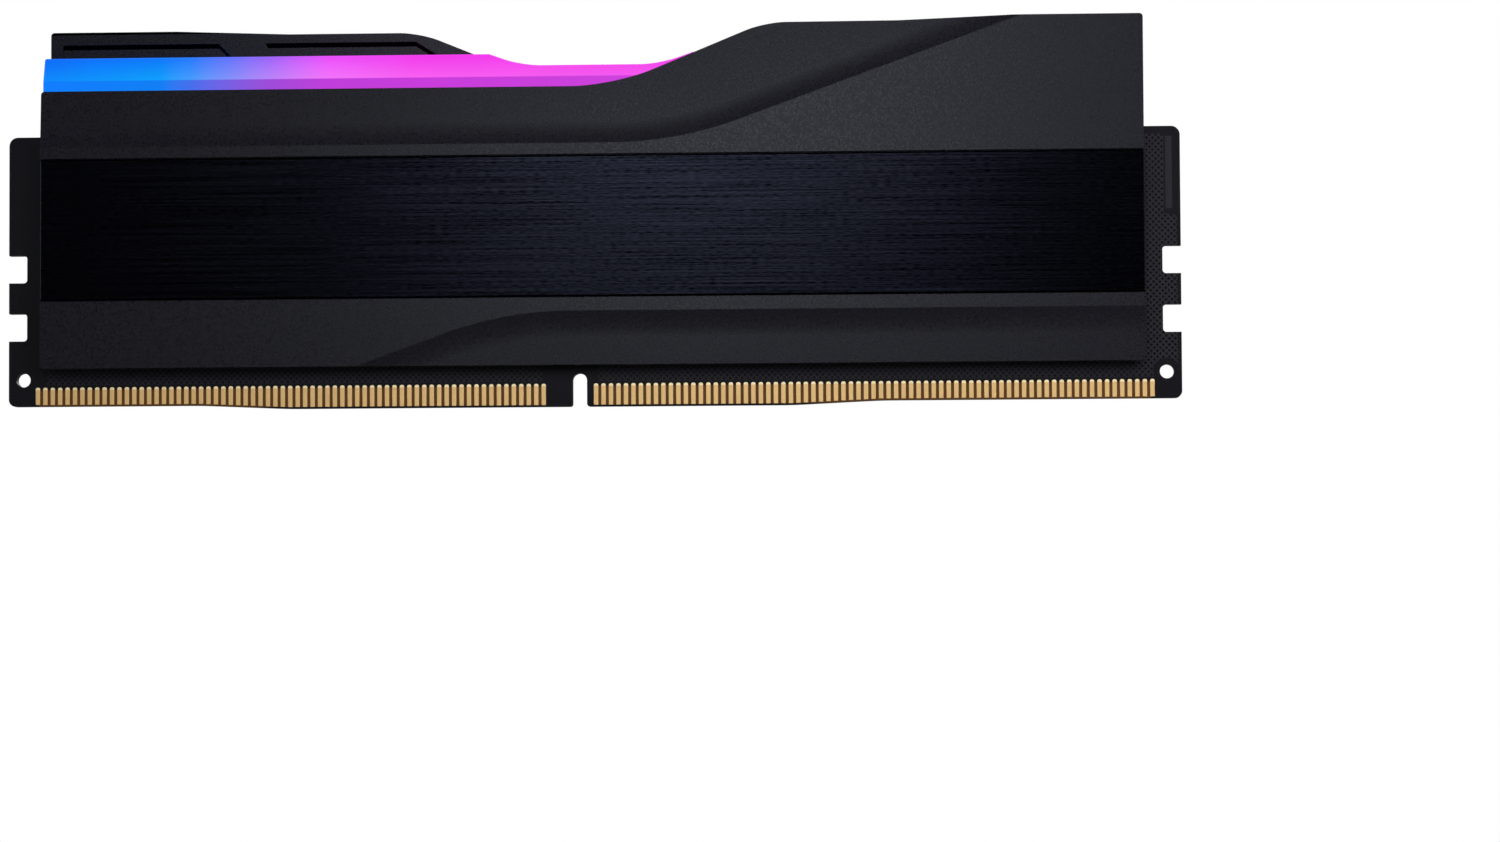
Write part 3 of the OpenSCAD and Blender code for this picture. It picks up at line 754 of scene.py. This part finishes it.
def makePocketTool(left, right, leftRun, rightRun):
    s = spreader
    bottom = s["pocketTop"] - s["pocketHeight"]
    floor = s["innerY"] - s["pocketDepth"]
    tool = addBlock("pocketTool", (left, right), (floor, s["innerY"] + past), (bottom, s["pocketTop"]))
    pick(tool, "VERT", lambda p: p.z < bottom + near and p.x < left + near)
    shift(x=-leftRun)
    pick(tool, "VERT", lambda p: p.z < bottom + near and p.x > right - near)
    shift(x=rightRun)
    # the top wall leans down towards the pocket's floor, and up as steeply past the fin's face
    pick(tool, "VERT", lambda p: p.z > s["pocketTop"] - near and p.y < floor + near)
    shift(z=-s["pocketLip"])
    pick(tool, "VERT", lambda p: p.z > s["pocketTop"] - near)
    shift(z=s["pocketLip"] / s["pocketDepth"] * past)
    return tool


def makeSpreader():
    s = spreader
    piece = addBlock("frontSpreader", (-s["endX"], s["endX"]), (s["outerY"], s["innerY"]),
                     (s["bottom"], s["lowEdge"]))
    # the fin grows out of the right half of the top
    cut(piece, (s["rampX"], 0, 0), (1, 0, 0))
    pick(piece, "FACE", lambda c, n: n.z > facing and c.x > s["rampX"])
    extrudeBy(z=s["shoulder"] - s["lowEdge"])
    bpy.ops.object.mode_set(mode="OBJECT")
    run = (s["shoulder"] - s["lowEdge"]) / math.tan(math.radians(s["rampAngle"]))
    pick(piece, "VERT", lambda p: p.z > s["shoulder"] - near and p.x < s["rampX"] + near)
    shift(x=run)
    cut(piece, (s["riseX"], 0, 0), (1, 0, 0))
    cut(piece, (s["fullX"], 0, 0), (1, 0, 0))
    pick(piece, "VERT", lambda p: p.z > s["shoulder"] - near and p.x > s["fullX"] - near)
    shift(z=s["finTop"] - s["shoulder"])
    tidyMesh(piece, dissolve=True)
    # round the bends of the ramp, then the outer corners
    turn = math.tan(math.radians(s["rampAngle"] / 2))

    def across(x, z):
        return lambda a, b: (same(a.x, b.x) and same(a.z, b.z)
                             and same(a.x, x, 5 * near) and same(a.z, z, 5 * near))

    footSteps, topSteps = s["rampSteps"]
    end, corner = s["endX"], (s["cornerRadius"], s["cornerSteps"])
    for x, z, rounding in (
            (s["rampX"], s["lowEdge"], (s["footRadius"] * turn, footSteps)),
            (s["rampX"] + run, s["shoulder"], (s["topRadius"] * turn, topSteps)),
            (-end, s["bottom"], corner), (end, s["bottom"], corner),
            (-end, s["lowEdge"], corner), (end, s["finTop"], corner)):
        pick(piece, "EDGE", across(x, z))
        bevelPicked(*rounding)
    # relief on the outer face, pockets on the inner face of the fin
    carve(piece, makeFieldTool(s["upperBend"], 1))
    carve(piece, makeFieldTool(s["lowerBend"], -1))
    low, high = s["channel"]
    carve(piece, addBlock("channelTool", (-s["endX"] - 2 * past, s["endX"] + 2 * past),
                          (s["outerY"] - past, s["outerY"] + s["channelDepth"]), (low, high)))
    for pocket in s["pockets"]:
        carve(piece, makePocketTool(*pocket))
    tidyMesh(piece, dissolve=True)
    roundEdges(piece, s["edgeRound"], segments=3, angle=32)
    smooth(piece, angle=8)
    return piece


frontSpreader = makeSpreader()
backSpreader = copyOf(frontSpreader, "backSpreader", turned=True)
dress(frontSpreader, satinMaterial, "spreader", "front_heat_spreader")
dress(backSpreader, satinMaterial, "spreader", "back_heat_spreader")
print("heat spreaders made")


# brushed plates

plate = {
    "lip": 0.14,        # chamfer along the edges
    "lipRound": 0.05,
}


def makePlate():
    low, high = (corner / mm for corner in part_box("front_plate"))
    piece = addBlock("frontPlate", (low.x, high.x), (low.y, high.y), (low.z, high.z))
    pick(piece, "EDGE", lambda a, b: a.y < low.y + near and b.y < low.y + near)
    bevelPicked(plate["lip"], segments=1)
    roundEdges(piece, plate["lipRound"], segments=2, angle=30)
    smooth(piece, angle=30)
    return piece


frontPlate = makePlate()
backPlate = copyOf(frontPlate, "backPlate", turned=True)
dress(frontPlate, brushedMaterial, "brushed_plate", "front_plate")
dress(backPlate, brushedMaterial, "brushed_plate", "back_plate")
print("brushed plates made")


# light bar

bar = {
    "endX": 62.5,
    "half": 2.4,
    "bottom": 30.15,
    "top": 40.2,
    "flankTop": 37.45,
    "topHalf": 1.3,
    "saddleDepth": 1.4,
    "saddleEnd": 11.6,
    "saddleAngle": 20.3,
    "saddleRadius": 12,
    "slotHalf": 0.735,
    "slotTop": 31.25,
    "edgeRound": 0.3,
}


def makeBar():
    b = bar
    piece = addBlock("lightBar", (-b["endX"], b["endX"]), (-b["half"], b["half"]), (b["bottom"], b["top"]))
    cut(piece, (0, 0, b["flankTop"]), (0, 0, 1))
    pick(piece, "VERT", lambda p: p.z > b["top"] - near)
    bpy.ops.transform.resize(value=(1, b["topHalf"] / b["half"], 1), center_override=(0, 0, b["top"] * mm))
    bpy.ops.object.mode_set(mode="OBJECT")
    # the saddle in the middle of the top
    footX = b["saddleEnd"] - b["saddleDepth"] / math.tan(math.radians(b["saddleAngle"]))
    for x in (-b["saddleEnd"], -footX, footX, b["saddleEnd"]):
        cut(piece, (x, 0, 0), (1, 0, 0))
    lean = (b["half"] - b["topHalf"]) / (b["top"] - b["flankTop"])
    saddleHalf = b["topHalf"] + lean * b["saddleDepth"]
    pick(piece, "VERT", lambda p: p.z > b["top"] - near and abs(p.x) < footX + near)
    bpy.ops.transform.translate(value=(0, 0, -b["saddleDepth"] * mm))
    bpy.ops.transform.resize(value=(1, saddleHalf / b["topHalf"], 1), center_override=(0, 0, b["top"] * mm))
    bpy.ops.object.mode_set(mode="OBJECT")
    tidyMesh(piece, dissolve=True)
    saddleZ = b["top"] - b["saddleDepth"]
    pick(piece, "EDGE", lambda a, c: same(a.x, c.x) and same(a.z, saddleZ) and same(c.z, saddleZ)
         and same(abs(a.x), footX, 5 * near))
    bevelPicked(b["saddleRadius"] * math.tan(math.radians(b["saddleAngle"] / 2)), segments=8)
    carve(piece, addBlock("slotTool", (-b["endX"] - past, b["endX"] + past),
                          (-b["slotHalf"], b["slotHalf"]), (b["bottom"] - past, b["slotTop"])))
    tidyMesh(piece, dissolve=True)
    roundEdges(piece, b["edgeRound"], segments=4, angle=40)
    smooth(piece, angle=15)
    return piece


lightBar = makeBar()
dress(lightBar, barMaterial, "light_bar", "light_bar")
print("light bar made")


# contacts

contact = {
    "pitch": 0.85,
    "width": 0.51,
    "top": 2.6,
    "lift": 0.17,
    "thickness": 0.05,
    "cornerRadius": 0.2,
    "edgeRound": 0.035,
    "boardHalf": 0.635,
    "keyX": -1.425,
    "leftGap": 4.1,
    "rightGap": 1.85,
    "leftCount": 69,
    "rightCount": 75,
    "bow": (0.45, -44.675, -34.675, 22.675, 32.675),  # rise, then where the slopes start and end
}


def edgeHeight(x):
    rise, a, b, c, d = contact["bow"]
    if x < b:
        return rise * min(1, max(0, (b - x) / (b - a)))
    return rise * min(1, max(0, (x - c) / (d - c)))


def makeContactBlank():
    c = contact
    half = c["width"] / 2
    front = -c["boardHalf"] - c["thickness"]
    piece = addBlock("contactBlank", (-half, half), (front, -c["boardHalf"]), (0, c["top"]))
    top = c["top"] - near
    pick(piece, "EDGE", lambda a, b: a.z > top and b.z > top and not same(a.y, b.y))
    bevelPicked(c["cornerRadius"], segments=3)
    pick(piece, "EDGE", lambda a, b: a.y < front + near and b.y < front + near)
    bevelPicked(c["edgeRound"], segments=2)
    smooth(piece, angle=50)
    return piece


def makeContactRow():
    c = contact
    blank = makeContactBlank()
    places = [c["keyX"] - c["leftGap"] - i * c["pitch"] for i in range(c["leftCount"])]
    places += [c["keyX"] + c["rightGap"] + i * c["pitch"] for i in range(c["rightCount"])]
    copies = []
    for i, x in enumerate(places):
        twin = copyOf(blank, "contact%d" % i)
        bottom = edgeHeight(x) + c["lift"]
        for vertex in twin.data.vertices:
            vertex.co.x += x * mm
            if vertex.co.z < c["top"] / 2 * mm:     # the top stays level, and the foot follows the edge
                vertex.co.z += bottom * mm
        copies.append(twin)
    bpy.data.objects.remove(blank, do_unlink=True)
    deselectAll()
    for twin in copies:
        twin.select_set(True)
    bpy.context.view_layer.objects.active = copies[0]
    bpy.ops.object.join()
    return nameActive("frontContacts")


frontContacts = makeContactRow()
backContacts = copyOf(frontContacts, "backContacts")
for vertex in backContacts.data.vertices:
    vertex.co.y = -vertex.co.y
pickAll(backContacts)
bpy.ops.mesh.normals_make_consistent(inside=False)
bpy.ops.object.mode_set(mode="OBJECT")
dress(frontContacts, goldMaterial, "contacts", "front_contacts")
dress(backContacts, goldMaterial, "contacts", "back_contacts")
print("contacts made")


# what stays as it is, with its own finish

slotOf = {part["node"]: part["material_slot"] for part in frame["record"]["subparts"]}
for nodeName, node in frame["nodes"].items():
    finish = hiddenMaterials.get(slotOf[nodeName])
    if nodeName == "circuit_board":
        finish = maskMaterial
    if finish is not None:
        for materialSlot in node.material_slots:
            materialSlot.material = finish
print("inner parts finished")


# floor, lights, world and camera

studio = {
    "floorSize": 3000,
    "floorZ": -0.05,
    "floorFade": (120, 520),
    "floorGlow": (0.62, 0.45),      # everywhere, and what is added far from the object
    "floorShade": 0.5,
    "floorInReflections": 0.22,
    "shineColour": (0.83, 0.9, 1),
    # place, width and height, power, and whether reflections see it; the back has the same lamps
    "lamps": {
        "Key": ((-12, -600, 126), (110, 150), 0.237, True),
        "Fill": ((0, -900, 420), (1200, 300), 4.4, False),
        "Side": ((180, -280, 80), (120, 120), 0.7, False),
    },
    "top": ((0, 0, 700), (400, 200), 1.2, True),
    "dim": 0.02,
    "backdrop": (0.45, 0.3),    # share of a reflection along Y where the white starts and is full
    "aim": (0, 0, 21),
}


def mixShaders(nodes, links, factor, first, second):
    mix = nodes.new("ShaderNodeMixShader")
    for source, socket in zip((factor, first, second), mix.inputs):
        links.new(source, socket)
    return mix.outputs[0]


def makeFloor():
    deselectAll()
    bpy.ops.mesh.primitive_plane_add(size=studio["floorSize"] * mm, location=(0, 0, studio["floorZ"] * mm))
    floor = nameActive("floor")
    material, nodes, links, shader = newMaterial("Pale floor")
    nodes.remove(shader)
    path = nodes.new("ShaderNodeLightPath")
    # the object's reflections see a darker floor than the camera does
    seen, mirrored = nodes.new("ShaderNodeBsdfDiffuse"), nodes.new("ShaderNodeBsdfDiffuse")
    for surface, key in ((seen, "floorShade"), (mirrored, "floorInReflections")):
        surface.inputs["Color"].default_value = (studio[key],) * 3 + (1,)
    matt = mixShaders(nodes, links, path.outputs["Is Glossy Ray"], seen.outputs[0], mirrored.outputs[0])
    glow = nodes.new("ShaderNodeEmission")
    # far from the object, where the lamps fade, the floor glows more and stays as pale as near it
    far = nodes.new("ShaderNodeVectorMath")
    far.operation = "LENGTH"
    links.new(objectPoint(nodes), far.inputs[0])
    near, away = (distance * mm for distance in studio["floorFade"])
    everywhere, added = studio["floorGlow"]
    more = between(nodes, links, far.outputs["Value"], near, away)
    more = mathNode(nodes, links, "MULTIPLY", more, added)
    links.new(mathNode(nodes, links, "ADD", more, everywhere), glow.inputs["Strength"])
    both = nodes.new("ShaderNodeAddShader")
    links.new(matt, both.inputs[0])
    links.new(glow.outputs[0], both.inputs[1])
    front = mixShaders(nodes, links, path.outputs["Is Camera Ray"], matt, both.outputs[0])
    # a camera below the floor looks through it
    clear = nodes.new("ShaderNodeBsdfTransparent")
    backfacing = nodes.new("ShaderNodeNewGeometry").outputs["Backfacing"]
    whole = mixShaders(nodes, links, backfacing, front, clear.outputs[0])
    links.new(whole, nodes["Material Output"].inputs["Surface"])
    floor.data.materials.append(material)


def makeSoftBox(name, place, size, power, shines):
    light = bpy.data.lights.new(name, "AREA")
    light.shape = "RECTANGLE"
    light.size, light.size_y = size[0] * mm, size[1] * mm
    light.energy = power
    light.color = studio["shineColour"] if shines else (1, 1, 1)
    lamp = bpy.data.objects.new(name, light)
    bpy.context.collection.objects.link(lamp)
    lamp.location = Vector(place) * mm
    lamp.rotation_euler = (Vector(studio["aim"]) - Vector(place)).to_track_quat("-Z", "Y").to_euler()
    lamp.visible_camera = False
    lamp.visible_glossy = shines


def makeWorld():
    world = bpy.data.worlds.new("Studio")
    bpy.context.scene.world = world
    world.use_nodes = True
    nodes, links = world.node_tree.nodes, world.node_tree.links
    nodes.clear()
    path = nodes.new("ShaderNodeLightPath")
    # the camera sees white all round; reflections see it at the sides and above, and a dim room
    # in front and behind
    direction = axesOf(nodes, links, nodes.new("ShaderNodeTexCoord").outputs["Generated"])
    lengthways = mathNode(nodes, links, "ABSOLUTE", direction["Y"])
    sideways = between(nodes, links, lengthways, *studio["backdrop"])
    glossy = mathNode(nodes, links, "MULTIPLY", path.outputs["Is Glossy Ray"], sideways)
    seen = mathNode(nodes, links, "ADD", path.outputs["Is Camera Ray"], path.outputs["Is Transmission Ray"])
    seen = mathNode(nodes, links, "ADD", seen, glossy, clamp=True)
    fill = nodes.new("ShaderNodeBackground")
    fill.inputs["Strength"].default_value = studio["dim"]
    white = nodes.new("ShaderNodeBackground")
    for background in (fill, white):
        background.inputs["Color"].default_value = (1, 1, 1, 1)
    whole = mixShaders(nodes, links, seen, fill.outputs[0], white.outputs[0])
    links.new(whole, nodes.new("ShaderNodeOutputWorld").inputs[0])


view = {
    "aim": (17.847, 0, -1.780),
    "azimuth": 2.536,
    "elevation": -2.919,
    "roll": -0.311,
    "distance": 537.83,
    "lens": 113.93,
    "sensor": 36,
    "clip": (10, 20000),
}


def makeCamera():
    a, e = math.radians(view["azimuth"]), math.radians(view["elevation"])
    back = Vector((math.sin(a) * math.cos(e), -math.cos(a) * math.cos(e), math.sin(e)))
    data = bpy.data.cameras.new("Camera")
    data.lens = view["lens"]
    data.sensor_width = view["sensor"]
    data.sensor_fit = "HORIZONTAL"
    data.clip_start, data.clip_end = (distance * mm for distance in view["clip"])
    camera = bpy.data.objects.new("Camera", data)
    bpy.context.collection.objects.link(camera)
    camera.rotation_mode = "QUATERNION"
    camera.location = (Vector(view["aim"]) + back * view["distance"]) * mm
    turn = (-back).to_track_quat("-Z", "Y")
    camera.rotation_quaternion = turn @ Matrix.Rotation(math.radians(view["roll"]), 4, "Z").to_quaternion()
    bpy.context.scene.camera = camera


makeFloor()
for lampName, (place, *values) in studio["lamps"].items():
    makeSoftBox("front" + lampName, place, *values)
    makeSoftBox("back" + lampName, (-place[0], -place[1], place[2]), *values)
makeSoftBox("top", *studio["top"])
makeWorld()
makeCamera()
bpy.context.scene.view_settings.view_transform = "Standard"
print("studio ready")

deselectAll()
